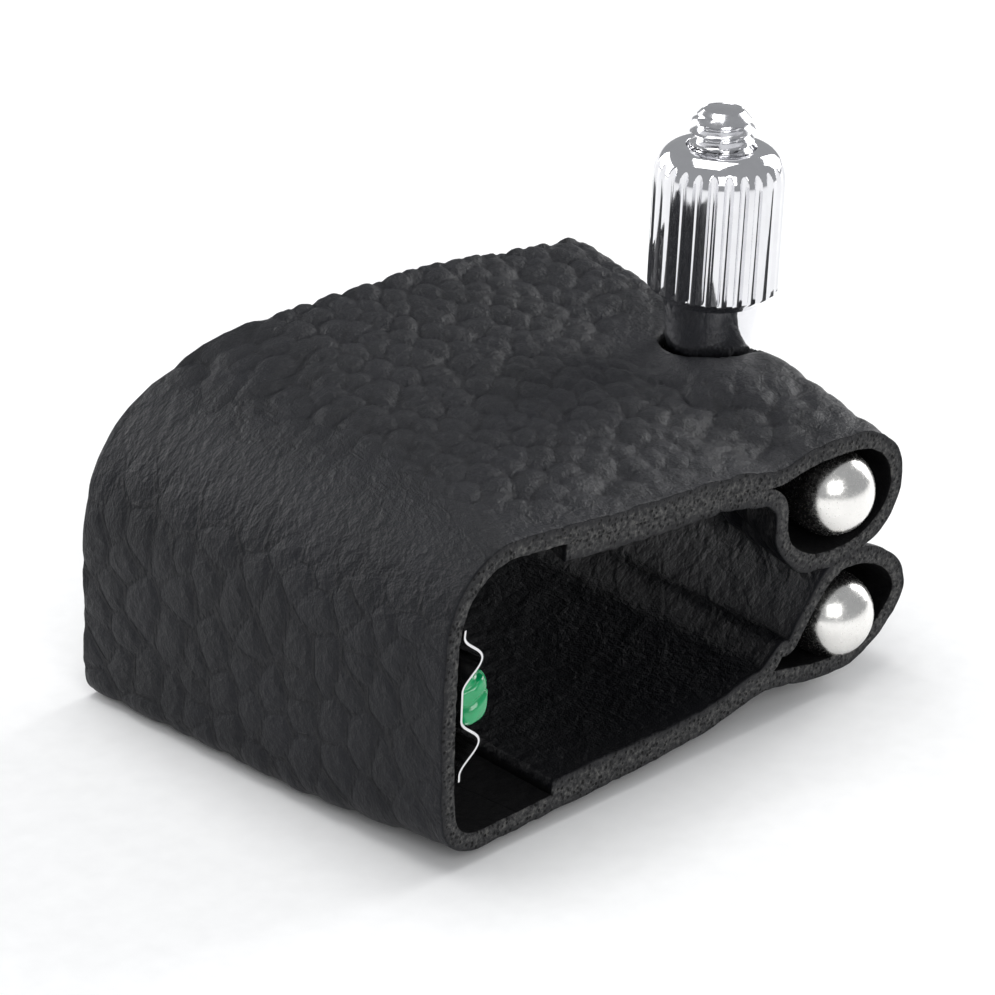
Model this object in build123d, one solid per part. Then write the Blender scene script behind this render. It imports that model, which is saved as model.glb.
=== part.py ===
from build123d import *
import os
from math import atan2, cos, degrees, hypot, pi, sin, sqrt

# Single-screw leather ligature for a saxophone mouthpiece.
#
# Frame: the mouthpiece lies along Y, with its tip towards -Y.  +X points from the
# reed wall to the screw, and +Z is up, along the screw.  The band lies on Z = 0.
# The origin is under the middle of the whole object.  All sizes are millimetres.
# Both ends of the strip pass round a rod and are glued down inside the band.

# ---- leather band ----
BAND_LENGTH = 45.0          # from the reed wall to the end of the loops, at the wide rim
BAND_WIDTH = 30.0           # width of the leather strip, along the mouthpiece
LEATHER = 1.1               # thickness of one layer
NARROW_RIM_HEIGHT = 18.4    # top of the band beside the reed wall, at each rim
WIDE_RIM_HEIGHT = 19.7
NARROW_TOP_CORNER = 5.2     # outer radius of the bend from the reed wall to the top
WIDE_TOP_CORNER = 6.0
NARROW_BOTTOM_CORNER = 2.8  # outer radius of the bend from the reed wall to the bottom
WIDE_BOTTOM_CORNER = 3.6
FLAP_LENGTH = 26.0          # how far each glued end runs back from its loop
FLEX_HEIGHT = 15.0          # the upper half of the band bends about this height
FLATTENED = 0.03            # how much of the bottom's outside is pressed flat
FLOOR = -FLATTENED          # where the bottom's outside would be otherwise

# ---- rods and their loops ----
ROD_RADIUS = 2.7
ROD_SLACK = 0.25            # gap between a rod and the leather round it
DOME_HEIGHT = 1.4           # bulge of each rod end
DOME_PROUD = 0.8            # how far the dome stands out of the band
ROD_SKEW = 0.18             # sideways run of the rods for each millimetre of width
UPPER_ROD_RISE = 0.085      # upward run of the upper rod for each millimetre of width
LOOP_GAP = 0.15             # between the two loops, where they are closest
UPPER_LOOP_REACH = 0.8      # how far each loop is longer than round
LOWER_LOOP_REACH = 1.4
LOWER_LOOP_TAIL = 6.6       # from the lower rod back to where the loop is glued down
GLUE_FILLET = 2.6           # the lower loop's hollow ends this far short of its tail
BORE_OVERRUN = 0.1          # how far each bore is cut past the rims, as a share of the width

# ---- screw and nut ----
SCREW_OFFSET = -1.5         # the screw is this far from the middle of the width
STUD_RADIUS = 2.0           # M4
PITCH = 0.7
THREAD_DEPTH = 0.43
THREAD_FLANK = 0.42         # each flank and the root, as shares of the pitch
THREAD_ROOT = 0.1
PLAIN_SHANK = 0.5           # unthreaded stud above the lower rod
STUD_PROUD = 2.3            # stud above the nut
STUD_TIP = 0.5              # height of the smooth chamfered tip
RUNNING_GAP = 0.05
ROD_HOLE_RADIUS = 2.15      # clearance hole through the upper rod
SEAT_RADIUS = 2.75          # spot face on the upper rod
SEAT_DEPTH = 0.5
NOSE_TIP_RADIUS = 2.4
NOSE_BASE_RADIUS = 3.0
NOSE_HEIGHT = 4.95
CHAMFER_HEIGHT = 0.8
KNURL_RADIUS = 3.9
KNURL_HEIGHT = 6.9
FLUTE_COUNT = 26
FLUTE_DEPTH = 0.22
SHOULDER_HEIGHT = 2.0
SHOULDER_TOP_RADIUS = 2.35
NOSE_HOLE_RADIUS = 3.15     # hole through the top of the band
STUD_HOLE_RADIUS = 2.5      # holes where the stud passes the two loops

# ---- reed plate ----
PLATE_THICKNESS = 0.35
PLATE_LENGTH = 27.0
PLATE_INSET = 0.2           # from the narrow rim
PLATE_HEIGHT = 9.3          # height of its middle
RIDGE_HEIGHT = 1.8
RIDGE_BASE = 3.3
VALLEY = 1.7
FLANGE = 0.4
BEAD_SIZE = (2.5, 3.0, 3.4)

TOUCHING = 1e-6             # edges whose ends are this close are joined

# ---- worked out ----
HALF_WIDTH = BAND_WIDTH / 2
WALL_X = -BAND_LENGTH / 2
LOOP_BORE = ROD_RADIUS + ROD_SLACK
LOOP_RADIUS = LOOP_BORE + LEATHER
SCREW_X = BAND_LENGTH / 2 - LOOP_RADIUS - LOWER_LOOP_REACH - ROD_SKEW * (HALF_WIDTH - SCREW_OFFSET)
LOWER_ROD_Z = FLOOR + LOOP_RADIUS
UPPER_ROD_NARROW_Z = LOWER_ROD_Z + 2 * LOOP_RADIUS + LOOP_GAP
UPPER_ROD_Z = UPPER_ROD_NARROW_Z + UPPER_ROD_RISE * (SCREW_OFFSET + HALF_WIDTH)
SEAT_Z = UPPER_ROD_Z + ROD_RADIUS - SEAT_DEPTH
KNURL_Z = SEAT_Z + NOSE_HEIGHT + CHAMFER_HEIGHT
NUT_TOP = KNURL_Z + KNURL_HEIGHT + SHOULDER_HEIGHT
STUD_TOP = NUT_TOP + STUD_PROUD


def point(x, y, z):
    return Vector(x, y, z)


def between(narrow, wide, share):
    return narrow + (wide - narrow) * share


class Rim:
    """One cross-section of the band: share 0 is the narrow rim and 1 is the wide rim."""

    def __init__(self, share):
        self.y = between(-HALF_WIDTH, HALF_WIDTH, share)
        self.top = between(NARROW_RIM_HEIGHT, WIDE_RIM_HEIGHT, share)
        self.top_corner = between(NARROW_TOP_CORNER, WIDE_TOP_CORNER, share)
        self.bottom_corner = between(NARROW_BOTTOM_CORNER, WIDE_BOTTOM_CORNER, share)
        self.rod_x = SCREW_X + ROD_SKEW * (self.y - SCREW_OFFSET)
        self.upper_rod_z = UPPER_ROD_Z + UPPER_ROD_RISE * (self.y - SCREW_OFFSET)
        self.corner_x = WALL_X + self.top_corner
        self.corner_z = self.top - self.top_corner

    def at(self, x, z):
        return point(x, self.y, z)

    def on_corner(self, radius, angle):
        """A point of the upper bend, with the angle measured up from the reed wall."""
        x = self.corner_x - radius * cos(angle)
        z = self.corner_z + radius * sin(angle)
        return self.at(x, z)

    def flex_angle(self, radius):
        """Where a bend of this radius passes the height that the band flexes at."""
        rise = FLEX_HEIGHT - self.corner_z
        return atan2(rise, sqrt(radius ** 2 - rise ** 2))

    def arc(self, x, z, radius, start, end):
        """An arc about (x, z), with its angles in degrees from +X towards +Z."""
        def spot(angle):
            turn = angle * pi / 180
            return self.at(x + radius * cos(turn), z + radius * sin(turn))
        return ThreePointArc(spot(start), spot((start + end) / 2), spot(end))


def corner_arc(rim, radius, start, end):
    middle = rim.on_corner(radius, (start + end) / 2)
    return ThreePointArc(rim.on_corner(radius, start), middle, rim.on_corner(radius, end))


def chained(pieces):
    """One closed face from edges and corner points, in order, joined by straight edges."""
    edges = []
    for piece in pieces:
        corner = isinstance(piece, Vector)
        start = piece if corner else piece @ 0
        if edges and (edges[-1] @ 1 - start).length > TOUCHING:
            edges.append(Line(edges[-1] @ 1, start))
        if not corner:
            edges.append(piece)
    edges.append(Line(edges[-1] @ 1, edges[0] @ 0))
    return Face(Wire(edges))


def upper_half(rim):
    """Section of the top wall, with its glued flap and the loop round the upper rod."""
    inner = rim.top_corner - LEATHER
    quarter = pi / 2
    x, z = rim.rod_x, rim.upper_rod_z
    slope = (z + LOOP_RADIUS - rim.top) / (x - rim.corner_x)

    def below_top(at_x, depth):
        return rim.at(at_x, rim.top + slope * (at_x - rim.corner_x) - depth)

    neck_rise = LOOP_RADIUS - 2 * LEATHER
    neck_angle = 180 - degrees(atan2(neck_rise, sqrt(LOOP_RADIUS ** 2 - neck_rise ** 2)))
    flap_end = x - FLAP_LENGTH
    return chained([
        corner_arc(rim, rim.top_corner, rim.flex_angle(rim.top_corner), quarter),
        rim.at(x, z + LOOP_RADIUS),
        rim.arc(x + UPPER_LOOP_REACH, z, LOOP_RADIUS, 90, -90),
        rim.arc(x, z, LOOP_RADIUS, -90, neck_angle - 360),
        below_top(flap_end, 2 * LEATHER),
        below_top(flap_end, LEATHER),
        corner_arc(rim, inner, quarter, rim.flex_angle(inner)),
    ])


def tangent_angle(x, z, radius, from_x, from_z):
    """Angle, in degrees, at which a line from a point on the left touches a circle's top."""
    away = hypot(from_x - x, from_z - z)
    return degrees(atan2(from_z - z, from_x - x)) % 360 - degrees(atan2(sqrt(away ** 2 - radius ** 2), radius))


def lower_half(rim):
    """Section of the reed wall and the bottom wall, with the loop round the lower rod."""
    outer, inner = rim.top_corner, rim.top_corner - LEATHER
    bend = rim.bottom_corner
    x, z = rim.rod_x, LOWER_ROD_Z
    tail_x = x - LOWER_LOOP_TAIL
    two_layers = FLOOR + 2 * LEATHER
    touch = tangent_angle(x, z, LOOP_RADIUS, tail_x, two_layers)
    flap_end = x - FLAP_LENGTH
    return chained([
        corner_arc(rim, outer, rim.flex_angle(outer), 0),
        rim.arc(WALL_X + bend, FLOOR + bend, bend, 180, 270),
        rim.arc(x + LOWER_LOOP_REACH, z, LOOP_RADIUS, -90, 90),
        rim.arc(x, z, LOOP_RADIUS, 90, touch),
        rim.at(tail_x, two_layers),
        rim.at(flap_end, two_layers),
        rim.at(flap_end, FLOOR + LEATHER),
        rim.arc(WALL_X + bend, FLOOR + bend, bend - LEATHER, 270, 180),
        corner_arc(rim, inner, 0, rim.flex_angle(inner)),
    ])


def upper_bore(rim):
    x, z = rim.rod_x, rim.upper_rod_z
    return chained([
        rim.arc(x + UPPER_LOOP_REACH, z, LOOP_BORE, 90, -90),
        rim.arc(x, z, LOOP_BORE, -90, -270),
    ])


def lower_bore(rim):
    """The teardrop inside the lower loop."""
    x, z = rim.rod_x, LOWER_ROD_Z
    tail_x = x - LOWER_LOOP_TAIL + GLUE_FILLET
    touch = tangent_angle(x, z, LOOP_BORE, tail_x, FLOOR + LEATHER)
    return chained([
        rim.arc(x + LOWER_LOOP_REACH, z, LOOP_BORE, -90, 90),
        rim.arc(x, z, LOOP_BORE, 90, touch),
        rim.at(tail_x, FLOOR + LEATHER),
    ])


def along_band(section, overrun=0.0):
    """A solid that runs straight from the narrow rim's section to the wide rim's."""
    return loft([section(Rim(-overrun)), section(Rim(1 + overrun))], ruled=True)


def upright(radius, low, high):
    """A cylinder on the screw's axis."""
    return Pos(SCREW_X, SCREW_OFFSET, (low + high) / 2) * Cylinder(radius, high - low)


def band_upper():
    band = along_band(upper_half) - along_band(upper_bore, BORE_OVERRUN)
    band -= upright(STUD_HOLE_RADIUS, UPPER_ROD_Z - 2 * LOOP_RADIUS, UPPER_ROD_Z)
    return band - upright(NOSE_HOLE_RADIUS, UPPER_ROD_Z, SEAT_Z + NOSE_HEIGHT)


def band_lower():
    band = along_band(lower_half) - along_band(lower_bore, BORE_OVERRUN)
    band -= upright(STUD_HOLE_RADIUS, LOWER_ROD_Z, 3 * LOOP_RADIUS)
    table = Pos(0, 0, -BAND_LENGTH) * Box(2 * BAND_LENGTH, 2 * BAND_LENGTH, 2 * BAND_LENGTH)
    return band - table


def rod(height, rise):
    """A rod with a shallow dome at each end, lying along its own loop."""
    run = Vector(ROD_SKEW, 1, rise)
    barrel = BAND_WIDTH * run.length / 2 + DOME_PROUD - DOME_HEIGHT
    dome_radius = (ROD_RADIUS ** 2 + DOME_HEIGHT ** 2) / (2 * DOME_HEIGHT)
    centre = barrel + DOME_HEIGHT - dome_radius
    ends = Pos(0, 0, centre) * Sphere(dome_radius) + Pos(0, 0, -centre) * Sphere(dome_radius)
    shape = Cylinder(ROD_RADIUS, 2 * BAND_WIDTH) & (Cylinder(2 * ROD_RADIUS, 2 * barrel) + ends)
    middle_x = SCREW_X - ROD_SKEW * SCREW_OFFSET
    middle_z = height - rise * SCREW_OFFSET
    return Plane((middle_x, 0, middle_z), z_dir=run) * shape


def lower_rod():
    return rod(LOWER_ROD_Z, 0) - upright(STUD_RADIUS, LOWER_ROD_Z - STUD_RADIUS, LOWER_ROD_Z + 2 * ROD_RADIUS)


def upper_rod():
    drilled = rod(UPPER_ROD_Z, UPPER_ROD_RISE)
    drilled -= upright(ROD_HOLE_RADIUS, UPPER_ROD_Z - 2 * ROD_RADIUS, UPPER_ROD_Z + 2 * ROD_RADIUS)
    return drilled - upright(SEAT_RADIUS, SEAT_Z, SEAT_Z + ROD_RADIUS)


def turned(outline):
    """A body of revolution on the screw's axis, from its outline of radius and height."""
    profile = make_face(Polyline(*[(radius, 0, height) for radius, height in outline], close=True))
    return Pos(SCREW_X, SCREW_OFFSET, 0) * revolve(profile, Axis.Z)


def threaded_stud():
    """The stud, with one groove for each turn of its thread."""
    foot = LOWER_ROD_Z - STUD_RADIUS
    neck = LOWER_ROD_Z + ROD_RADIUS + PLAIN_SHANK
    outline = [(0, foot), (STUD_RADIUS, foot), (STUD_RADIUS, neck)]
    turns = int((STUD_TOP - STUD_TIP - neck) / PITCH)
    start = STUD_TOP - STUD_TIP - turns * PITCH
    for turn in range(turns):
        height = start + turn * PITCH
        outline += [
            (STUD_RADIUS, height),
            (STUD_RADIUS - THREAD_DEPTH, height + THREAD_FLANK * PITCH),
            (STUD_RADIUS - THREAD_DEPTH, height + (THREAD_FLANK + THREAD_ROOT) * PITCH),
            (STUD_RADIUS, height + (2 * THREAD_FLANK + THREAD_ROOT) * PITCH),
        ]
    crest = STUD_TOP - STUD_TIP
    outline += [(STUD_RADIUS, crest), (STUD_RADIUS - STUD_TIP, STUD_TOP), (0, STUD_TOP)]
    return turned(outline)


def knurled_nut():
    """A tall nut: conical nose, fluted grip and rounded shoulder, on a threaded bore."""
    bore = STUD_RADIUS + RUNNING_GAP
    grip_top = KNURL_Z + KNURL_HEIGHT
    outline = [
        (bore, SEAT_Z),
        (NOSE_TIP_RADIUS, SEAT_Z),
        (NOSE_BASE_RADIUS, SEAT_Z + NOSE_HEIGHT),
        (KNURL_RADIUS, KNURL_Z),
        (KNURL_RADIUS, grip_top),
    ]
    steps = 8
    for step in range(1, steps + 1):
        turn = step / steps * pi / 2
        radius = SHOULDER_TOP_RADIUS + (KNURL_RADIUS - SHOULDER_TOP_RADIUS) * cos(turn)
        outline.append((radius, grip_top + SHOULDER_HEIGHT * sin(turn)))
    outline.append((bore, NUT_TOP))
    nut = turned(outline)
    flute_width = pi * KNURL_RADIUS / FLUTE_COUNT
    flute = Rot(0, 0, 45) * Box(flute_width / sqrt(2), flute_width / sqrt(2), KNURL_HEIGHT)
    centre = KNURL_RADIUS + flute_width / 2 - FLUTE_DEPTH
    flutes = PolarLocations(centre, FLUTE_COUNT)
    middle = Pos(SCREW_X, SCREW_OFFSET, KNURL_Z + KNURL_HEIGHT / 2)
    return nut - [middle * spot * flute for spot in flutes]


def ridge(z):
    """Height and slope of the sheet's middle line, at a height above the plate's lower edge."""
    for foot in (FLANGE, FLANGE + RIDGE_BASE + VALLEY):
        turn = 2 * pi * (z - foot) / RIDGE_BASE
        if 0 < turn < 2 * pi:
            height = RIDGE_HEIGHT - PLATE_THICKNESS
            return height * (1 - cos(turn)) / 2, height * pi * sin(turn) / RIDGE_BASE
    return 0.0, 0.0


def reed_plate():
    """A thin sheet with two rounded ridges that press on the reed."""
    half = PLATE_THICKNESS / 2
    tall = 2 * (FLANGE + RIDGE_BASE) + VALLEY
    samples = 60
    front, back = [], []
    for sample in range(samples + 1):
        z = tall * sample / samples
        height, slope = ridge(z)
        spot = Vector(WALL_X + LEATHER + half + height, 0, PLATE_HEIGHT - tall / 2 + z)
        across = Vector(1, 0, -slope).normalized() * half
        front.append(spot + across)
        back.append(spot - across)
    rise, fall = Spline(*front), Spline(*reversed(back))
    sheet = Face(Wire([rise, Line(rise @ 1, fall @ 0), fall, Line(fall @ 1, rise @ 0)]))
    return Pos(0, PLATE_INSET - HALF_WIDTH, 0) * extrude(sheet, PLATE_LENGTH, dir=(0, 1, 0))


def plate_bead(plate):
    """A drop of resin that holds the plate's end in the valley between the ridges."""
    depth, width, height = BEAD_SIZE
    drop = scale(Sphere(1), (depth, width / 2, height / 2))
    inner_wall = WALL_X + LEATHER
    start = -HALF_WIDTH + PLATE_INSET + width / 2
    drop = Pos(inner_wall, start, PLATE_HEIGHT) * drop
    wall = Pos(inner_wall - BAND_LENGTH / 2, 0, PLATE_HEIGHT) * Box(BAND_LENGTH, BAND_LENGTH, BAND_LENGTH)
    pieces = (drop - wall - plate).solids()
    return pieces.sort_by(SortBy.VOLUME)[-1]


def main():
    plate = reed_plate()
    nodes = {
        "band_lower": band_lower(),
        "band_upper": band_upper(),
        "lower_rod": lower_rod(),
        "upper_rod": upper_rod(),
        "threaded_stud": threaded_stud(),
        "knurled_nut": knurled_nut(),
        "reed_plate": plate,
        "plate_bead": plate_bead(plate),
    }
    os.makedirs("parts", exist_ok=True)
    for name, shape in nodes.items():
        export_step(shape, "parts/" + name + ".step")


main()
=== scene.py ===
from math import atan2, cos, hypot, pi, radians, sin, sqrt

import bpy
import numpy as np
from mathutils import Matrix, Vector


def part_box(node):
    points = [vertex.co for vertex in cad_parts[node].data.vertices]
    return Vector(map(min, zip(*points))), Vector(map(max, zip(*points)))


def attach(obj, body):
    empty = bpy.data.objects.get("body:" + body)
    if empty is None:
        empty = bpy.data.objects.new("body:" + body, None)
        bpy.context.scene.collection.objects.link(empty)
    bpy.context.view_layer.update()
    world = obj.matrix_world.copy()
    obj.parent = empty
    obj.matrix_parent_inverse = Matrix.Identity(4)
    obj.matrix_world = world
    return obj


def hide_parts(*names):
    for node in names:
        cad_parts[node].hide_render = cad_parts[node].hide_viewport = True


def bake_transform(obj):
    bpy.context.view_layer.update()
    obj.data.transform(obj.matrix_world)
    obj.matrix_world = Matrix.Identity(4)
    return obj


# Single-screw leather ligature.  Lengths are millimetres until a mesh is made.
# Frame: X from the reed wall to the screw, Y along the mouthpiece with the narrow
# rim at -Y, Z up along the screw.  The band lies on Z = 0.

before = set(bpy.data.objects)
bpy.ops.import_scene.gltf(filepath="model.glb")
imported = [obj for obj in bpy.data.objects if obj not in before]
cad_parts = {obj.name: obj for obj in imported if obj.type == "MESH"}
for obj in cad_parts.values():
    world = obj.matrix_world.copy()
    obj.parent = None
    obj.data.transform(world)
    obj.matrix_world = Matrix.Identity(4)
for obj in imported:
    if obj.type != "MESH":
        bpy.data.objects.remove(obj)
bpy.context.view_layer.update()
MM = 0.001


def node_box(node):
    low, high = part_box(node)
    return low / MM, high / MM


# ---- sizes read from the frame ----
base_low, base_high = node_box("band_lower")
stud_low, stud_high = node_box("threaded_stud")
nut_low, nut_high = node_box("knurled_nut")
plate_low, plate_high = node_box("reed_plate")
WALL_X = base_low.x
HALF_WIDTH = base_high.y
SCREW_X = (stud_low.x + stud_high.x) / 2
SCREW_Y = (stud_low.y + stud_high.y) / 2
STUD_RADIUS = (stud_high.x - stud_low.x) / 2
STUD_TOP = stud_high.z
SEAT_Z = nut_low.z
NUT_TOP = nut_high.z
KNURL_RADIUS = (nut_high.x - nut_low.x) / 2 * 1.025

# ---- leather: the CAD's strip, with the sag and the uneven bends of real leather ----
LEATHER = 1.1
NARROW_TOP, WIDE_TOP = 18.1, 19.8               # top beside the reed wall, at each rim
NARROW_BEND_X, WIDE_BEND_X = 4.6, 15.0          # reach of the bend from the reed wall to the top
NARROW_BEND_Z, WIDE_BEND_Z = 5.0, 10.0          # and its height
NARROW_BEND_POWER, WIDE_BEND_POWER = 2.0, 2.35  # 2 is an ellipse, and more is squarer
NARROW_BOTTOM_CORNER, WIDE_BOTTOM_CORNER = 2.6, 1.4
NARROW_CROWN, WIDE_CROWN = -0.25, 0.6           # rise of the top above a straight line
WIDE_WALL_INSET = 0.3                           # how far the reed wall comes in at the wide rim
FLAP_LENGTH = 26.0                              # how far each glued end runs back
FLAP_TRIM = 1.5                                 # how much shorter the upper one is
NECK_GAP = 0.9                                  # from the upper loop to the dip behind it
NECK_DEPTH = (0.65, 0.3)                        # at the narrow rim and at the wide rim
NECK_WIDTH = 2.6
GLUE_OVERLAP = 0.08                             # a flap's mesh enters its wall by this much
SAG = 0.6                                       # drop of the reed wall's foot between the rims
CUT_ROUNDING = 0.14                             # radius of the strip's cut edges
CUT_ROWS = 7                                    # rows of points across a cut edge
GRID = 0.27                                     # spacing of the strip's points
UPPER_SHADE = (70, 76)      # lengths between which each strip passes into the band's shade
LOWER_SHADE = (46, 52)

# ---- rods and their loops ----
ROD_RADIUS = 2.7
ROD_SLACK = 0.25
ROD_SIDES = 72
DOME_HEIGHT = 2.6
DOME_PROUD = 1.1
LOWER_ROD_SKEW = 0.12       # sideways and upward run for each millimetre of width
UPPER_ROD_SKEW = 0.20
LOWER_ROD_RISE = 0.015
UPPER_ROD_RISE = 0.10
UPPER_LOOP_RISE = 0.085
UPPER_LOOP_X = (10.9, 17.85)        # middle of the loop, at each rim
UPPER_LOOP_HALF = (5.45, 4.0)
LOWER_LOOP_X = (12.3, 16.1)
LOWER_LOOP_HALF = (5.25, 5.3)
LOWER_LOOP_TAIL = 7.4               # from the lower rod back to where its loop is glued
UPPER_LOOP_POWER = 2.15
NOSE_HOLE_RADIUS = 3.15
STUD_HOLE_RADIUS = 2.5
ROD_HOLE_RADIUS = 2.15      # through the upper rod
STUD_BORE_RADIUS = 2.0      # in the lower rod, where the stud is fixed
SEAT_RADIUS = 2.75          # spot face on the upper rod
SEAT_DEPTH = 0.5
DRILL_REACH = 6.0
DRILL_SIDES = 64

# ---- nut and stud ----
NOSE_TIP_RADIUS = 2.4
NOSE_BASE_RADIUS = 3.0
NOSE_HEIGHT = 4.95
CHAMFER_HEIGHT = 0.8
KNURL_HEIGHT = 6.9
FLUTE_COUNT = 26
FLUTE_DEPTH = 0.3
FLUTE_HALF_WIDTH = 0.29     # as a share of the flutes' spacing
POINTS_PER_FLUTE = 16
NOSE_EDGE = 0.12
BORE_GAP = 0.05
SHOULDER_TOP_RADIUS = 2.35
PITCH = 0.7
THREAD_DEPTH = 0.43
ROWS_PER_TURN = 10
STUD_SIDES = 48
CREST_GAP = 0.02            # the crests stay this far inside the CAD's stud
PLAIN_SHANK = 0.5           # unthreaded stud above the lower rod
TIP_HEIGHT = 1.0
TIP_TAPER = 0.78
TIP_POWER = 1.4
TIP_FLAT = 1.22             # radius of the tip's crowned end
CROWN_HEIGHT = 0.08

# ---- reed plate ----
RIDGE_HEIGHT = 1.8
RIDGE_BASE = 3.3
VALLEY = 1.7
FLANGE = 0.4
PLATE_THICKNESS = 0.35
THIN_ENDS = (0.4, 0.7, 0.9)     # thickness of the first stations from each end, as shares
END_GAP = 0.02
BEAD_GROWTH = (1.15, 1.2, 1.22)     # against the CAD's bead
SHARP_METAL = 35            # degrees

# ---- worked out ----
KNURL_Z = SEAT_Z + NOSE_HEIGHT + CHAMFER_HEIGHT
MID_RADIUS = ROD_RADIUS + ROD_SLACK + LEATHER / 2
LOOP_RISE = MID_RADIUS + 0.1
LOWER_ROD_Z = ROD_RADIUS + ROD_SLACK + LEATHER
UPPER_ROD_Z = SEAT_Z - ROD_RADIUS + SEAT_DEPTH
SEAM_X = WALL_X + 6.0           # where the two strips meet, on the bottom wall
HALF = LEATHER / 2
CREST_RADIUS = STUD_RADIUS - CREST_GAP


# ---- noise ----
def lattice(i, j, seed):
    """A repeatable random number from 0 to 1 for each whole-number cell."""
    n = i.astype(np.int64) * 374761393 + j.astype(np.int64) * 668265263 + seed * 974634777
    n = (n ^ (n >> 13)) * 1274126177
    n = n ^ (n >> 16)
    return (n & 0xFFFFFF) / float(0x1000000)


def value_noise(u, v, seed):
    """Smooth noise from -1 to 1, with features one unit across."""
    i, j = np.floor(u), np.floor(v)
    a, b = u - i, v - j
    a, b = a * a * (3 - 2 * a), b * b * (3 - 2 * b)
    low = lattice(i, j, seed) * (1 - a) + lattice(i + 1, j, seed) * a
    high = lattice(i, j + 1, seed) * (1 - a) + lattice(i + 1, j + 1, seed) * a
    return 2 * (low * (1 - b) + high * b) - 1


def cells(u, v, seed, jitter=0.75):
    """Distances to the nearest and second nearest of scattered points, one to a unit cell."""
    i, j = np.floor(u), np.floor(v)
    first = np.full(u.shape, 9.0)
    second = np.full(u.shape, 9.0)
    for step_u in (-2, -1, 0, 1, 2):
        for step_v in (-2, -1, 0, 1, 2):
            ci, cj = i + step_u, j + step_v
            pu = ci + 0.5 + jitter * (lattice(ci, cj, seed) - 0.5)
            pv = cj + 0.5 + jitter * (lattice(ci, cj, seed + 7) - 0.5)
            away = np.hypot(u - pu, v - pv)
            second = np.minimum(second, np.maximum(first, away))
            first = np.minimum(first, away)
    return first, second


def smooth(x, low, high):
    x = np.clip((x - low) / (high - low), 0, 1)
    return x * x * (3 - 2 * x)


# ---- meshes ----
def make_piece(name, points, faces, body, replaced, material, sharp=None):
    mesh = bpy.data.meshes.new(name)
    mesh.from_pydata((np.asarray(points, float) * MM).tolist(), [], faces)
    mesh.validate()
    mesh.update()
    for face in mesh.polygons:
        face.use_smooth = True
    if sharp is not None:
        mesh.set_sharp_from_angle(angle=radians(sharp))
    piece = bpy.data.objects.new(name, mesh)
    bpy.context.scene.collection.objects.link(piece)
    piece.data.materials.append(material)
    if body:
        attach(piece, body)
    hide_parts(*replaced)
    return piece


def give(mesh, name, values):
    layer = mesh.attributes.new(name, "FLOAT", "POINT")
    layer.data.foreach_set("value", np.asarray(values, np.float32))


# ---- materials ----
class Nodes:
    """A material's node tree, with short ways to add and join nodes."""

    def __init__(self, name):
        self.material = bpy.data.materials.new(name)
        self.material.use_nodes = True
        self.tree = self.material.node_tree
        self.shader = self.tree.nodes["Principled BSDF"]

    def set(self, **values):
        for key, value in values.items():
            self.shader.inputs[key.replace("_", " ")].default_value = value

    def add(self, kind, links=(), **values):
        node = self.tree.nodes.new("ShaderNode" + kind)
        for key, value in values.items():
            setattr(node, key, value)
        for key, source in dict(links).items():
            socket = node.inputs[key]
            if hasattr(source, "is_output"):
                self.tree.links.new(source, socket)
            else:
                socket.default_value = source
        return node

    def attribute(self, name):
        return self.add("Attribute", attribute_name=name).outputs["Fac"]

    def math(self, operation, a, b=0.0, clamp=False):
        return self.add("Math", {0: a, 1: b}, operation=operation, use_clamp=clamp).outputs[0]

    def noise(self, vector, scale, detail=3.0, roughness=0.55):
        values = {"Vector": vector, "Scale": scale, "Detail": detail, "Roughness": roughness}
        return self.add("TexNoise", values).outputs["Fac"]

    def ramp(self, value, stops):
        """Colours or greys at given values."""
        node = self.add("ValToRGB", {"Fac": value})
        elements = node.color_ramp.elements
        while len(elements) < len(stops):
            elements.new(0.5)
        for element, (place, colour) in zip(elements, stops):
            element.position = place
            grey = isinstance(colour, float)
            element.color = (colour, colour, colour, 1) if grey else (*colour, 1)
        return node.outputs["Color"]

    def mix(self, share, a, b):
        node = self.add("Mix", data_type="RGBA")
        for place, source in ((0, share), (6, a), (7, b)):
            socket = node.inputs[place]
            if hasattr(source, "is_output"):
                self.tree.links.new(source, socket)
            else:
                socket.default_value = source if place == 0 else (*source, 1)
        return node.outputs[2]

    def bump(self, height, distance, strength=1.0, normal=None):
        values = {"Height": height, "Distance": distance, "Strength": strength}
        if normal is not None:
            values["Normal"] = normal
        return self.add("Bump", values).outputs["Normal"]

    def feed(self, socket, source):
        self.tree.links.new(source, self.shader.inputs[socket])

    def object_place(self, scale=1000.0):
        """Coordinates on the object, in millimetres."""
        place = self.add("TexCoord").outputs["Object"]
        return self.add("VectorMath", {0: place, 3: scale}, operation="SCALE").outputs[0]


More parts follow.
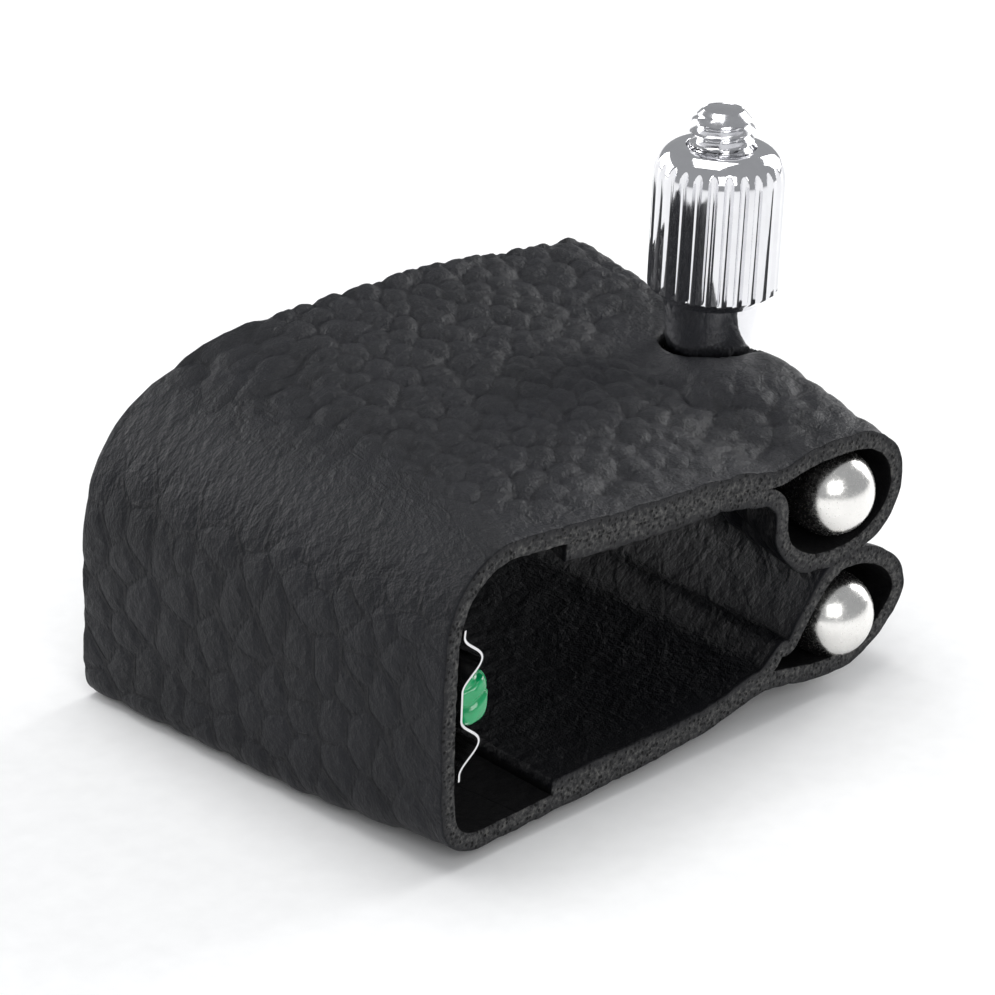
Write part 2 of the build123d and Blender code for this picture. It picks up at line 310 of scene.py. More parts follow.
def leather_material():
    n = Nodes("black_leather")
    strip = n.add("CombineXYZ", {"X": n.attribute("strip_s"), "Y": n.attribute("strip_y"),
                                 "Z": n.attribute("depth")}).outputs[0]
    depth, cut, gap = n.attribute("depth"), n.attribute("cut"), n.attribute("gap")
    creased, pebbled, painted_shade = n.attribute("creased"), n.attribute("pebbled"), n.attribute("painted_shade")
    broad = n.noise(strip, 0.16, 2.0)
    fine = n.noise(strip, 2.2, 4.0, 0.65)
    crack = n.math("MULTIPLY", n.ramp(gap, [(0.0, 1.0), (0.13, 0.0)]), creased)
    beads = n.add("TexVoronoi", {"Vector": strip, "Scale": 1.7, "Randomness": 0.9})
    beads = beads.outputs["Distance"]
    # colours
    grain = n.ramp(broad, [(0.3, (0.0055, 0.006, 0.008)), (0.7, (0.009, 0.0095, 0.0125))])
    # painted shade: the grain's creases are darkened in colour where the crack mask is high
    grain = n.mix(n.math("MULTIPLY", crack, 0.7), grain, (0.003, 0.003, 0.004))
    flesh_colour = n.ramp(fine, [(0.3, (0.006, 0.006, 0.007)), (0.7, (0.016, 0.016, 0.017))])
    place = n.object_place()
    fibre = n.noise(place, 3.4, 4.0, 0.7)
    pit_cells = n.add("TexVoronoi", {"Vector": place, "Scale": 2.9, "Randomness": 0.8})
    pit = n.ramp(pit_cells.outputs["Distance"], [(0.18, 1.0), (0.34, 0.0)])
    cut_colour = n.ramp(fibre, [(0.36, (0.020, 0.020, 0.021)), (0.5, (0.050, 0.050, 0.051)),
                                (0.68, (0.130, 0.128, 0.122))])
    dyed = n.math("ADD", depth, n.math("MULTIPLY", n.math("SUBTRACT", fibre, 0.5), 0.7))
    dyed = n.ramp(dyed, [(0.1, 0.0), (0.6, 1.0)])
    cut_colour = n.mix(dyed, (0.026, 0.026, 0.028), cut_colour)
    # painted shade: the cut edge's pits are darkened in colour, besides being sunk by a bump
    cut_colour = n.mix(n.math("MULTIPLY", pit, 0.85), cut_colour, (0.004, 0.004, 0.004))
    flesh = n.ramp(depth, [(0.45, 0.0), (0.55, 1.0)])
    colour = n.mix(flesh, grain, flesh_colour)
    colour = n.mix(n.ramp(cut, [(0.35, 0.0), (0.65, 1.0)]), colour, cut_colour)
    uncut = n.math("SUBTRACT", 1.0, cut, clamp=True)
    # painted shade: the strip inside the band and the whole flesh side are darkened in colour
    shade = n.math("MULTIPLY", n.math("MAXIMUM", painted_shade, flesh), uncut)
    colour = n.mix(n.math("MULTIPLY", shade, 0.65), colour, (0.001, 0.001, 0.0012))
    n.feed("Base Color", colour)
    # gloss
    gloss = n.add("MapRange", {"Value": fine, "From Min": 0.3, "From Max": 0.7,
                               "To Min": 0.36, "To Max": 0.52}).outputs[0]
    rough = n.math("ADD", gloss, n.math("MULTIPLY", n.math("MAXIMUM", cut, flesh), 0.4))
    n.feed("Roughness", rough)
    # relief
    wrinkle = n.noise(strip, 1.5, 5.0, 0.65)
    pores = n.noise(strip, 6.0, 3.0, 0.6)
    normal = n.bump(wrinkle, 0.00022, 0.7)
    normal = n.bump(pores, 0.00004, 0.6, normal)
    bead_depth = n.math("MULTIPLY", n.math("MULTIPLY", beads, beads), -1.0)
    normal = n.bump(bead_depth, 0.00010, 0.6, normal)
    sharpness = n.math("SUBTRACT", 1.0, n.math("MULTIPLY", pebbled, 0.75), clamp=True)
    crack_depth = n.math("MULTIPLY", n.math("MULTIPLY", crack, sharpness), -1.0)
    normal = n.bump(crack_depth, 0.00012, 0.8, normal)
    normal = n.bump(n.math("MULTIPLY", fibre, cut), 0.00025, 0.8, normal)
    pit_depth = n.math("MULTIPLY", n.math("MULTIPLY", pit, cut), -1.0)
    normal = n.bump(pit_depth, 0.00012, 0.9, normal)
    n.feed("Normal", normal)
    # painted shade: the specular is lowered where the painted shade lies
    n.feed("Specular IOR Level", n.math("SUBTRACT", 0.20, n.math("MULTIPLY", shade, 0.14)))
    return n.material


def metal_material(name, colour, low, high, streak, wear):
    """Plated metal: faint polishing marks along one axis and small changes of gloss."""
    n = Nodes(name)
    place = n.object_place()
    stretched = n.add("VectorMath", {0: place, 1: streak}, operation="MULTIPLY").outputs[0]
    marks = n.noise(stretched, 1.0, 3.0, 0.6)
    cloud = n.noise(place, 0.9, 3.0)
    tint = n.ramp(cloud, [(0.35, tuple(c * (1 - wear) for c in colour)), (0.65, colour)])
    n.feed("Base Color", tint)
    gloss = n.add("MapRange", {"Value": marks, "From Min": 0.3, "From Max": 0.7,
                               "To Min": low, "To Max": high}).outputs[0]
    n.feed("Roughness", gloss)
    n.feed("Normal", n.bump(marks, 0.000004, 0.35))
    n.set(Metallic=1.0)
    return n.material


def resin_material():
    n = Nodes("green_resin")
    place = n.object_place()
    swirl = n.noise(place, 0.7, 4.0)
    n.feed("Base Color", n.ramp(swirl, [(0.3, (0.0, 0.24, 0.075)), (0.7, (0.004, 0.42, 0.15))]))
    n.feed("Normal", n.bump(n.noise(place, 3.0, 3.0), 0.00006, 0.5))
    n.set(Roughness=0.16, Coat_Weight=0.6, Coat_Roughness=0.05)
    return n.material


def floor_material():
    n = Nodes("studio_floor")
    grain = n.noise(n.object_place(), 0.6, 2.0)
    n.feed("Base Color", n.ramp(grain, [(0.3, 0.93), (0.7, 0.96)]))
    n.set(Roughness=0.85)
    return n.material


# ---- the leather strip ----
def between(narrow, wide, share):
    return narrow + (wide - narrow) * share


def share_across(y):
    """0 at the narrow rim and 1 at the wide rim."""
    return (y + HALF_WIDTH) / (2 * HALF_WIDTH)


def hump(distance, width):
    return np.exp(-(distance / width) ** 2)


def arc(x, z, radius, start, end, count):
    """Points on an arc, with angles in degrees from +X towards +Z, without its last point."""
    turn = np.radians(np.linspace(start, end, count, endpoint=False))
    return np.stack([x + radius * np.cos(turn), z + radius * np.sin(turn)], axis=1)


def run(start, end, count):
    share = np.linspace(0, 1, count, endpoint=False)[:, None]
    return np.array(start) * (1 - share) + np.array(end) * share


def rod_x(y, skew):
    return SCREW_X + skew * (y - SCREW_Y)


def loop_z(y):
    return UPPER_ROD_Z - 0.1 + UPPER_LOOP_RISE * (y - SCREW_Y)


def steps(length):
    return max(3, int(round(length / GRID)))


def bow(x, z, half_x, half_z, start, end, count, power=2.0):
    """Points on an oval, squarer or more pointed than an ellipse for another power than 2."""
    turn = np.radians(np.linspace(start, end, count, endpoint=False))
    c, d = np.cos(turn), np.sin(turn)
    return np.stack([x + half_x * np.sign(c) * np.abs(c) ** (2 / power),
                     z + half_z * np.sign(d) * np.abs(d) ** (2 / power)], axis=1)


def upper_line(y):
    """Middle line of the strip at one place across the band, from the seam on the bottom
    wall up the reed wall, along the top, round the upper rod and back under the top."""
    share = share_across(y)
    top = between(NARROW_TOP, WIDE_TOP, share) - HALF
    bend_x, bend_z, power = bend(share)
    low = bottom_corner(share)
    wall = WALL_X + HALF + WIDE_WALL_INSET * share ** 2
    x, half_x = between(*UPPER_LOOP_X, share), between(*UPPER_LOOP_HALF, share)
    z = loop_z(y)
    corner_x = wall + bend_x
    loop_top = z + LOOP_RISE
    along = run((corner_x, top), (x, loop_top), steps(30.0))
    place = (along[:, 0] - corner_x) / (x - corner_x)
    neck_x = x - half_x - NECK_GAP
    along[:, 1] += between(NARROW_CROWN, WIDE_CROWN, share) * np.sin(pi * place)
    along[:, 1] -= between(*NECK_DEPTH, share) * hump(along[:, 0] - neck_x, NECK_WIDTH)
    neck_top = np.interp(neck_x, along[:, 0], along[:, 1])
    end_x = x - FLAP_LENGTH + FLAP_TRIM
    glued = (along[:, 0] > end_x) & (along[:, 0] < neck_x)
    under = along[glued][::-1] - (0, LEATHER - GLUE_OVERLAP)
    return np.concatenate([
        run((SEAM_X, HALF), (wall + low, HALF), steps(3.5)),
        arc(wall + low, HALF + low, low, 270, 180, steps(3.5)),
        run((wall, HALF + low), (wall, top - bend_z), steps(10.0)),
        bow(wall + bend_x, top - bend_z, bend_x, bend_z, 180, 90, steps(11.5), power),
        along,
        bow(x, z, half_x, LOOP_RISE, 90, -90, steps(12.0), UPPER_LOOP_POWER),
        bow(x, z, half_x, LOOP_RISE, -90, -195, steps(7.5), UPPER_LOOP_POWER),
        run((x - half_x + 0.1, z + 1.1), (neck_x, neck_top - LEATHER), steps(1.6)),
        resampled(under, steps(FLAP_LENGTH - 7)),
    ])


def resampled(points, count):
    share = np.linspace(0, len(points) - 1, count)
    places = np.arange(len(points))
    return np.stack([np.interp(share, places, points[:, k]) for k in (0, 1)], axis=1)


def wall_inside(y, z):
    """X of the reed wall's inner face at a height, with the bend's lean."""
    share = share_across(y)
    bend_x, bend_z, power = bend(share)
    up = max(0.0, z - (between(NARROW_TOP, WIDE_TOP, share) - HALF - bend_z)) / bend_z
    lean = bend_x * (1 - (1 - up ** power) ** (1 / power))
    return WALL_X + LEATHER + WIDE_WALL_INSET * share ** 2 + lean


def bend(share):
    """Reach, height and power of the middle line's bend from the reed wall to the top."""
    return (between(NARROW_BEND_X, WIDE_BEND_X, share) - HALF,
            between(NARROW_BEND_Z, WIDE_BEND_Z, share) - HALF,
            between(NARROW_BEND_POWER, WIDE_BEND_POWER, share))


def bottom_corner(share):
    return between(NARROW_BOTTOM_CORNER, WIDE_BOTTOM_CORNER, min(1.0, share * 2.5)) - HALF


def lower_line(y):
    """Middle line from the seam along the bottom, round the lower rod and back over it."""
    share = share_across(y)
    x, half_x = between(*LOWER_LOOP_X, share), between(*LOWER_LOOP_HALF, share)
    curl = float(smooth(np.array(-y), 11.5, HALF_WIDTH + 1.0))
    half_z = MID_RADIUS - 0.1 * curl
    z = LOWER_ROD_Z + LOWER_ROD_RISE * max(0.0, SCREW_Y - y) + 0.5 * curl
    tail_x, tail_z = x - LOWER_LOOP_TAIL, LEATHER + HALF - GLUE_OVERLAP
    away = hypot(tail_x - x, tail_z - z)
    touch = np.degrees(atan2(tail_z - z, tail_x - x)) % 360
    touch -= np.degrees(np.arccos(half_z / away))
    touch_x, touch_z = x + half_z * cos(radians(touch)), z + half_z * sin(radians(touch))
    return np.concatenate([
        run((SEAM_X, HALF), (x, z - half_z), steps(30.0)),
        bow(x, z, half_x, half_z, -90, 0, steps(6.5), 1.6),
        bow(x, z, half_x, half_z, 0, 90, steps(6.5), 1.85),
        arc(x, z, half_z, 90, touch, steps(6.0)),
        run((touch_x, touch_z), (tail_x, tail_z), steps(6.0)),
        run((tail_x, tail_z), (x - FLAP_LENGTH, tail_z), steps(FLAP_LENGTH - LOWER_LOOP_TAIL)),
        [(x - FLAP_LENGTH, tail_z)],
    ])


def softened(lines, width):
    """The lines rounded along their length, with their ends kept."""
    reach = int(3 * width)
    weights = np.exp(-0.5 * (np.arange(-reach, reach + 1) / width) ** 2)
    weights /= weights.sum()
    first, last = lines[:, :1], lines[:, -1:]
    before = 2 * first - lines[:, reach:0:-1]
    after = 2 * last - lines[:, -2:-reach - 2:-1]
    padded = np.concatenate([before, lines, after], axis=1)
    count = lines.shape[1]
    return sum(w * padded[:, k:k + count] for k, w in enumerate(weights))


def warped(x, y, z, upper):
    """The uneven shape that the leather has taken: pulled in at the screw, pushed out
    along the reed wall, raised between the screw and the narrow rim, dented under the
    lower loop, curled up along the narrow rim."""
    share = share_across(y)
    if upper:
        wall = hump(x - WALL_X, 2.0) * np.sin(pi * np.clip(z / 18, 0, 1))
        x = x - between(0.4, 0.1, share) * wall
        from_screw = np.hypot(x - SCREW_X, y - SCREW_Y)
        over = smooth(z, UPPER_ROD_Z + 1.0, UPPER_ROD_Z + 3.0)
        loop = smooth(x, 4.0, 11.0) * over
        z = z + 0.85 * loop * hump(y + 6.2, 4.2)
        z = z - 0.30 * over * hump(from_screw, 3.6)
        ripple = value_noise(x / 9 + 3, y / 8, 21) * smooth(x, WALL_X + 6, WALL_X + 14)
        z = z + 0.10 * ripple * smooth(from_screw, 4, 9) * smooth(z, 13, 16)
    else:
        dent = hump(x - rod_x(y, LOWER_ROD_SKEW) + 7.6, 3.8)
        z = z + between(1.05, 0.3, share) * dent * (1 - smooth(z, 2.8, 4.2))
    # the bottom edge of the reed wall sags between the rims and lifts at the narrow one
    foot = hump(x - WALL_X, 5.0) * (1 - smooth(z, 2.0, 8.0))
    z = z - SAG * foot * (0.6 * smooth(share, 0.0, 0.5) + 0.4 * smooth(share, 0.55, 0.95))
    lift = (1 - smooth(share, 0.0, 0.28)) * (1 - smooth(z, 1.5, 7.0)) * smooth(-x, -10.0, 2.0)
    return x, z + 0.15 * lift


def grain_height(s, y, pebble, crease_amount):
    """Height of the grain side and the distance from the nearest main crease.  The top
    carries small full pebbles; the reed wall is flatter, in wider plates."""
    drift_u = 0.30 * value_noise(s / 4, y / 4, 3)
    drift_v = 0.30 * value_noise(s / 4, y / 4, 4)
    first, second = cells(s / 2.7 + y / 2.5 + drift_u, s / 2.7 - y / 2.5 + drift_v, 11, 0.8)
    along, over = s / 3.8, y / 3.2
    wide_first, wide_second = cells(along + over + drift_u, along - over + drift_v, 17, 0.8)
    share = smooth(pebble, 0.12, 0.45)
    gap = between(wide_second - wide_first, second - first, share)
    crease = 1 - smooth(gap, 0.0, 0.40)
    dome = 1 - np.clip(first / 0.72, 0, 1.1) ** 2.4
    plate = 1 - smooth(wide_first, 0.2, 0.9)
    small = cells(s / 0.95 + 0.8 * drift_u, y / 0.80 + 0.8 * drift_v, 31, 0.9)[0]
    small = 1 - smooth(small, 0.1, 0.8)
    lift = 0.28 * pebble * share * (dome - 0.5) + 0.08 * (1 - share) * crease_amount * (plate - 0.5)
    lift -= between(0.09, 0.05, share) * crease_amount * crease
    lift += 0.06 * pebble * (small - 0.5)
    lift += 0.020 * value_noise(s / 0.9, y / 0.75, 5) * (0.4 + pebble)
    lift += 0.010 * value_noise(s / 0.5, y / 0.45, 6)
    return lift, np.clip(gap, 0, 1)


def section_ring(ys):
    """The ring round one cross-section: each point's place across, its y, and its depth
    from 1 at the grain side to -1 at the flesh side."""
    across = len(ys) - 1
    rim = HALF_WIDTH - CUT_ROUNDING
    turn_in = CUT_ROUNDING / HALF
    corner = [(CUT_ROUNDING * sin(a), turn_in * (1 - cos(a))) for a in np.radians([30, 60, 90])]
    cut_depths = np.linspace(1 - turn_in, -1 + turn_in, CUT_ROWS)[1:-1]
    cut_edge = [(rim + a, 1 - b) for a, b in corner]
    cut_edge += [(HALF_WIDTH, d) for d in cut_depths]
    cut_edge += [(rim + a, -1 + b) for a, b in corner[::-1]]
    ring = [(j, y, 1.0) for j, y in enumerate(ys)]
    ring += [(across, y, d) for y, d in cut_edge]
    ring += [(j, ys[j], -1.0) for j in range(across, -1, -1)]
    ring += [(0, -y, d) for y, d in cut_edge[::-1]]
    return tuple(np.array(values) for values in zip(*ring))


def rim_shift(grid_s, grid_y, grid_d, edge):
    """How far each point moves along Y: frayed and slightly wavy cut edges."""
    rim = np.sign(grid_y)
    fray = value_noise(grid_s / 0.5, grid_d / 0.35 + rim * 9, 9)
    wave = value_noise(grid_s / 3.0, rim, 12)
    near_rim = smooth(np.abs(grid_y), HALF_WIDTH - 2, HALF_WIDTH)
    return rim * (0.035 * fray * edge + 0.05 * wave * near_rim - 0.05)


def strip(name, line, side, body, replaced, holes, masks, shaded, material):
    """The strip as a closed mesh: grain face, flesh face and cut edges, with round holes.
    side is 1 where the grain is on the left of the line and -1 where it is on the right;
    shaded is the two lengths between which the strip passes into the shade of the band."""
    across = int(round(2 * HALF_WIDTH / GRID))
    ys = np.linspace(-HALF_WIDTH + CUT_ROUNDING, HALF_WIDTH - CUT_ROUNDING, across + 1)
    lines = softened(np.array([line(y) for y in ys]), 2.2)
    warp_x, warp_z = warped(lines[..., 0], ys[:, None] + 0 * lines[..., 0], lines[..., 1], side > 0)
    lines = np.stack([warp_x, warp_z], axis=-1)
    tangent = np.gradient(lines, axis=1)
    tangent /= np.linalg.norm(tangent, axis=-1, keepdims=True)
    normal = side * np.stack([-tangent[..., 1], tangent[..., 0]], axis=-1)
    middle = lines[len(ys) // 2]
    lengths = np.concatenate([[0], np.cumsum(np.linalg.norm(np.diff(middle, axis=0), axis=1))])
    s = side * lengths

    columns, ring_y, ring_d = section_ring(ys)
    size, count = len(columns), len(s)

    grid_s = np.repeat(s[:, None], size, axis=1)
    grid_y = np.repeat(ring_y[None, :], count, axis=0)
    grid_d = np.repeat(ring_d[None, :], count, axis=0)
    mid = lines[columns].transpose(1, 0, 2)
    out = normal[columns].transpose(1, 0, 2)
    pebble, crease_amount = masks(mid[..., 0], grid_y, mid[..., 1], lengths[:, None])
    crease_amount = np.broadcast_to(crease_amount, grid_s.shape)
    lift, gap = grain_height(grid_s, grid_y, pebble, crease_amount)
    grain_side = smooth(grid_d, -0.2, 1.0)
    flesh = 0.03 * value_noise(grid_s / 0.5, grid_y / 0.5, 8) * smooth(-grid_d, -0.2, 1.0)
    offset = grid_d * HALF + lift * grain_side + flesh
    edge = smooth(np.abs(grid_y), HALF_WIDTH - CUT_ROUNDING, HALF_WIDTH - 0.3 * CUT_ROUNDING)
    shift = rim_shift(grid_s, grid_y, grid_d, edge)
    points = np.stack([mid[..., 0] + out[..., 0] * offset, grid_y + shift,
                       mid[..., 1] + out[..., 1] * offset], axis=-1)

    # holes: faces inside are left out and the faces' rim is drawn onto the circle
    flat = ring_index_pairs(across, size)
    gone = np.zeros((count - 1, across), bool)
    centre_s = (mid[:-1] + mid[1:]) / 2
    for hole_radius, low_z, high_z in holes:
        cx = (centre_s[:, :across, 0] + centre_s[:, 1:across + 1, 0]) / 2
        cz = (centre_s[:, :across, 1] + centre_s[:, 1:across + 1, 1]) / 2
        cy = (ys[:-1] + ys[1:])[None, :] / 2
        inside = (np.hypot(cx - SCREW_X, cy - SCREW_Y) < hole_radius) & (cz > low_z) & (cz < high_z)
        gone |= inside
        snap_hole(points, inside, flat, hole_radius)
    index = np.arange(count * size).reshape(count, size)
    faces = []
    for i in range(count - 1):
        for k in range(size):
            after = (k + 1) % size
            cell = flat.get(k)
            if cell is not None and gone[i, cell]:
                continue
            faces.append((index[i, k], index[i, after], index[i + 1, after], index[i + 1, k]))
    faces += hole_walls(gone, index, across, size)
    faces += end_caps(index, across, size)
    if side < 0:
        faces = [face[::-1] for face in faces]
    points = points.reshape(-1, 3)
    used = np.zeros(len(points), bool)
    used[np.unique(np.concatenate([np.array(f) for f in faces]))] = True
    renumber = np.cumsum(used) - 1
    faces = [tuple(int(renumber[v]) for v in face) for face in faces]
    piece = make_piece(name, points[used], faces, body, replaced, material)
    give(piece.data, "strip_s", grid_s.reshape(-1)[used])
    give(piece.data, "strip_y", grid_y.reshape(-1)[used])
    give(piece.data, "depth", ((1 - grid_d) / 2).reshape(-1)[used])
    give(piece.data, "cut", (edge * (1 - smooth(grid_d, 0.8, 1.0))).reshape(-1)[used])
    give(piece.data, "gap", gap.reshape(-1)[used])
    give(piece.data, "creased", (crease_amount * grain_side).reshape(-1)[used])
    # painted shade: 1 along the strip's stretch inside the band, darkening the leather's colour and
    # specular
    give(piece.data, "painted_shade", (smooth(lengths, *shaded)[:, None] + 0 * grid_s).reshape(-1)[used])
    give(piece.data, "pebbled", (pebble * grain_side).reshape(-1)[used])
    return piece


def ring_index_pairs(across, size):
    """Which cell across the band each face of the grain and flesh sides belongs to."""
    edge = (size - 2 * (across + 1)) // 2
    pairs = {k: k for k in range(across)}
    back = across + 1 + edge
    for k in range(across):
        pairs[back + k] = across - 1 - k
    return pairs


def flesh_column(across, size, j):
    edge = (size - 2 * (across + 1)) // 2
    return across + 1 + edge + (across - j)


def snap_hole(points, inside, flat, radius):
    """Moves the rim of a group of left-out cells onto a circle about the screw's axis."""
    across = inside.shape[1]
    size = points.shape[1]
    padded = np.pad(inside, 1)
    corners = (padded[:-1, :-1].astype(int) + padded[1:, :-1] + padded[:-1, 1:] + padded[1:, 1:])
    rim = (corners > 0) & (corners < 4)
    for i, j in zip(*np.nonzero(rim)):
        for k in (j, flesh_column(across, size, j)):
            x, y = points[i, k, 0] - SCREW_X, points[i, k, 1] - SCREW_Y
            grow = radius / max(hypot(x, y), 1e-6)
            points[i, k, 0], points[i, k, 1] = SCREW_X + x * grow, SCREW_Y + y * grow


def hole_walls(gone, index, across, size):
    """Faces through the thickness, round each left-out group of cells."""
    padded = np.pad(gone, 1)
    walls = []

    def wall(a, b):
        (i, j), (p, q) = a, b
        walls.append((index[i, j], index[p, q],
                      index[p, flesh_column(across, size, q)],
                      index[i, flesh_column(across, size, j)]))

    for i, j in zip(*np.nonzero(gone)):
        if not padded[i, j + 1]:
            wall((i, j), (i, j + 1))
        if not padded[i + 2, j + 1]:
            wall((i + 1, j + 1), (i + 1, j))
        if not padded[i + 1, j]:
            wall((i + 1, j), (i, j))
        if not padded[i + 1, j + 2]:
            wall((i, j + 1), (i + 1, j + 1))
    return walls


def end_caps(index, across, size):
    """Closes both ends of the strip."""
    edge = (size - 2 * (across + 1)) // 2
    caps = []
    for i, turn in ((0, -1), (index.shape[0] - 1, 1)):
        row = index[i]
        for j in range(across):
            face = (row[j], row[j + 1], row[flesh_column(across, size, j + 1)],
                    row[flesh_column(across, size, j)])
            caps.append(face[::turn])
        far = tuple(row[across:across + edge + 2])
        near = tuple(row[size - edge - 1:size]) + (row[0],)
        caps += [far[::turn], near[::turn]]
    return caps


def upper_masks(x, y, z, length):
    """How pebbled and how creased the grain is along the reed wall, top and upper loop."""
    from_screw = np.hypot(x - SCREW_X, y - SCREW_Y)
    on_top = smooth(x, WALL_X + 3.5, WALL_X + 9)
    calm = smooth(from_screw, 3.5, 9.0) * (0.35 + 0.65 * smooth(y, -HALF_WIDTH, -HALF_WIDTH + 4.0))
    underside = smooth(length, 66, 70)
    pebble = np.maximum(on_top * calm, 0.6 * underside)
    shoulder = hump(x - WALL_X - 3.0, 2.6) * smooth(z, 12, 16) * (1 - underside)
    crease = (0.30 + 0.70 * calm) * (1 - 0.85 * shoulder)
    return pebble * (1 - 0.9 * shoulder) + 0.06, crease


def lower_masks(x, y, z, length):
    flat = np.ones(np.broadcast(x, y).shape)
    return flat * 0.22, flat * 0.6


# ---- turned and threaded pieces ----
def lathe(rows, around, place):
    """Points and faces of a body from rows of numbers: place(row, angles) gives a row's
    points.  The first and last rows are closed by a face each, the last two in the list."""
    angles = np.linspace(0, 2 * pi, around, endpoint=False)
    points = np.concatenate([place(row, angles) for row in rows])
    faces = []
    for r in range(len(rows) - 1):
        for a in range(around):
            b = (a + 1) % around
            low, high = r * around, (r + 1) * around
            faces.append((low + a, low + b, high + b, high + a))
    faces.append(tuple(range(around))[::-1])
    last = (len(rows) - 1) * around
    faces.append(tuple(range(last, last + around)))
    return points, faces


def about_screw(radius, height, angles):
    radius = np.broadcast_to(radius, angles.shape)
    height = np.broadcast_to(height, angles.shape)
    x = SCREW_X + radius * np.cos(angles)
    y = SCREW_Y + radius * np.sin(angles)
    return np.stack([x, y, height], axis=1)


def nut_profile():
    """Radius and height of the nut's outline, bottom to top, before the flutes are cut."""
    outline = [(NOSE_TIP_RADIUS - NOSE_EDGE, SEAT_Z), (NOSE_TIP_RADIUS, SEAT_Z + NOSE_EDGE)]
    for share in np.linspace(0.1, 1, 9):
        radius = between(NOSE_TIP_RADIUS, NOSE_BASE_RADIUS, share)
        outline.append((radius, SEAT_Z + NOSE_HEIGHT * share))
    nose_top = SEAT_Z + NOSE_HEIGHT
    for share in np.linspace(0.08, 1, 16):
        radius = between(NOSE_BASE_RADIUS, KNURL_RADIUS, share)
        outline.append((radius, nose_top + CHAMFER_HEIGHT * share))
    for share in np.linspace(0.08, 1, 12):
        outline.append((KNURL_RADIUS, KNURL_Z + KNURL_HEIGHT * share))
    shoulder = NUT_TOP - KNURL_Z - KNURL_HEIGHT
    for share in np.linspace(0.03, 1, 34):
        turn = share * pi / 2
        radius = between(SHOULDER_TOP_RADIUS, KNURL_RADIUS, cos(turn) ** 0.9)
        outline.append((radius, KNURL_Z + KNURL_HEIGHT + shoulder * sin(turn)))
    return outline


def knurled_nut(material):
    around = FLUTE_COUNT * POINTS_PER_FLUTE
    bore = STUD_RADIUS + BORE_GAP

    def row(spec, angles):
        radius, height, fluted = spec
        if fluted:
            phase = (angles * FLUTE_COUNT / (2 * pi)) % 1 - 0.5
            groove = np.sqrt(np.clip(1 - (phase / FLUTE_HALF_WIDTH) ** 2, 0, 1))
            radius = np.minimum(radius, KNURL_RADIUS - FLUTE_DEPTH * groove)
        return about_screw(radius, height, angles)

    rows = [(radius, height, True) for radius, height in nut_profile()]
    rows += [(bore + 0.1, NUT_TOP - 0.02, False), (bore, NUT_TOP - 0.2, False),
             (bore, SEAT_Z, False)]
    points, faces = lathe(rows, around, row)
    # the bore's foot joins the nose's foot, so no face closes the ends
    faces = faces[:-2]
    last = (len(rows) - 1) * around
    faces += [(last + a, last + (a + 1) % around, (a + 1) % around, a) for a in range(around)]
    return make_piece("nut_body", points, faces, "nut", ["knurled_nut"], material, 32)


def threaded_stud(material):
    threads_from = LOWER_ROD_Z + ROD_RADIUS + PLAIN_SHANK
    heights = np.arange(threads_from, STUD_TOP, PITCH / ROWS_PER_TURN)

    def row(spec, angles):
        height, threaded, cap = spec
        radius = np.full(angles.shape, CREST_RADIUS)
        if threaded:
            phase = (height / PITCH - angles / (2 * pi)) % 1
            flank = np.abs(phase - 0.5) * 2
            radius -= THREAD_DEPTH * np.clip((1 - flank) * 1.25 - 0.12, 0, 1) ** 0.9
        return about_screw(np.minimum(radius, cap), height, angles)

    rows = [(stud_low.z, False, CREST_RADIUS), (threads_from - 0.02, False, CREST_RADIUS)]
    for height in heights:
        drop = max(0.0, height - (STUD_TOP - TIP_HEIGHT))
        rows.append((height, True, CREST_RADIUS - TIP_TAPER * drop ** TIP_POWER))
    for share in (0.0, 0.35, 0.7, 0.93):
        height = STUD_TOP - CROWN_HEIGHT + CROWN_HEIGHT * share
        rows.append((height, False, TIP_FLAT * sqrt(1 - share ** 2)))
    points, faces = lathe(rows, STUD_SIDES, row)
    return make_piece("screw_stud", points, faces, "band_base",
                      ["threaded_stud"], material, 40)


def rod(name, height, skew, rise, body, node, hole, material):
    """A rod with ball ends, drilled for the stud."""
    along = Vector((skew, 1, rise))
    half = HALF_WIDTH * along.length + DOME_PROUD
    barrel = half - DOME_HEIGHT
    along.normalize()
    side = along.cross(Vector((0, 0, 1))).normalized()
    up = side.cross(along)
    middle = Vector((SCREW_X - skew * SCREW_Y, 0, height - rise * SCREW_Y))
    turns = np.radians(np.linspace(2, 90, 22))
    ends = [(ROD_RADIUS * sin(turn), barrel + DOME_HEIGHT * cos(turn)) for turn in turns]
    barrel_rows = [(ROD_RADIUS, at) for at in np.linspace(barrel, -barrel, 24)[1:-1]]
    profile = ends + barrel_rows + [(radius, -at) for radius, at in ends[::-1]]

    def row(spec, angles):
        radius, at = spec
        centre = np.array(middle + along * at)
        ring = np.outer(np.cos(angles), np.array(side)) + np.outer(np.sin(angles), np.array(up))
        return centre + radius * ring

    points, faces = lathe(profile, ROD_SIDES, row)
    piece = make_piece(name, points, faces, body, [node], material, SHARP_METAL)
    drill(piece, hole, height)
    return piece


